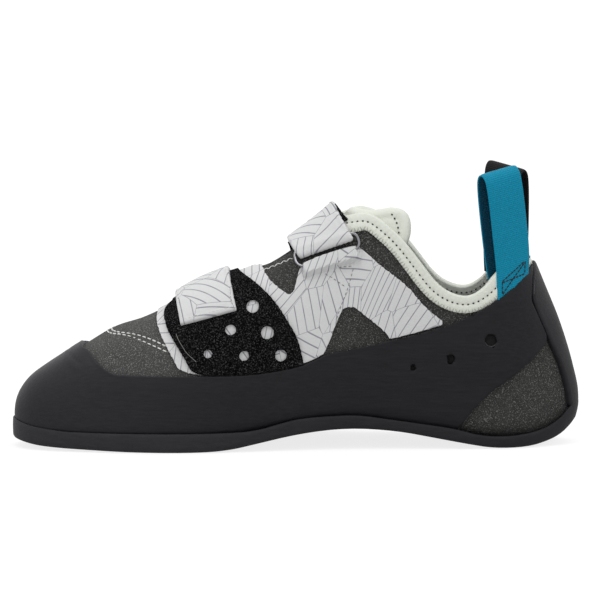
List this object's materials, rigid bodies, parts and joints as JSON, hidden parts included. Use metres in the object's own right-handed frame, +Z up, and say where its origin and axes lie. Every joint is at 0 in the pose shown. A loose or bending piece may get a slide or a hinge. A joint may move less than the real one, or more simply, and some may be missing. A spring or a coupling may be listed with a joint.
{
  "type": "climbing shoe",
  "caption": "Climbing shoe for the right foot with a hollow suede upper, a rubber sole with rand and heel, opposed hook-and-loop straps on wire rings, a padded tongue and webbing pull loops.",
  "frame": {"origin": "middle of the bounding box on the floor under the sole", "axes": "+X from toe to heel, +Y to the outer side of the foot, +Z up"},
  "size_m": [0.2642, 0.0948, 0.1295],
  "materials": {
    "suede": "napped dark grey suede",
    "sole_rubber": "smooth matt rubber",
    "insole_board": "plain board",
    "tongue_leather": "smooth pale leather",
    "rand_rubber": "smooth matt rubber",
    "heel_rubber": "smooth matt rubber",
    "binding_leather": "smooth pale leather",
    "printed_panel": "light sheet with thin grey lines",
    "loop_face": "black loop pile",
    "printed_strap": "light sheet with thin grey lines",
    "ring_wire": "polished wire",
    "teal_webbing": "woven ribbed webbing",
    "black_webbing": "woven ribbed webbing"
  },
  "bodies": {
    "root": {"upper": "suede", "outsole": "sole_rubber", "insole": "insole_board", "tongue": "tongue_leather", "rand": "rand_rubber", "heel_strip": "heel_rubber", "collar_binding": "binding_leather", "panel_inner": "printed_panel", "panel_outer": "printed_panel", "strap_base_front": "loop_face", "strap_base_rear": "loop_face", "strap_end_front": "printed_strap", "strap_end_rear": "printed_strap", "ring_front": "ring_wire", "ring_rear": "ring_wire", "pull_loop_inner": "teal_webbing", "pull_loop_outer": "black_webbing"}
  },
  "joints": []
}
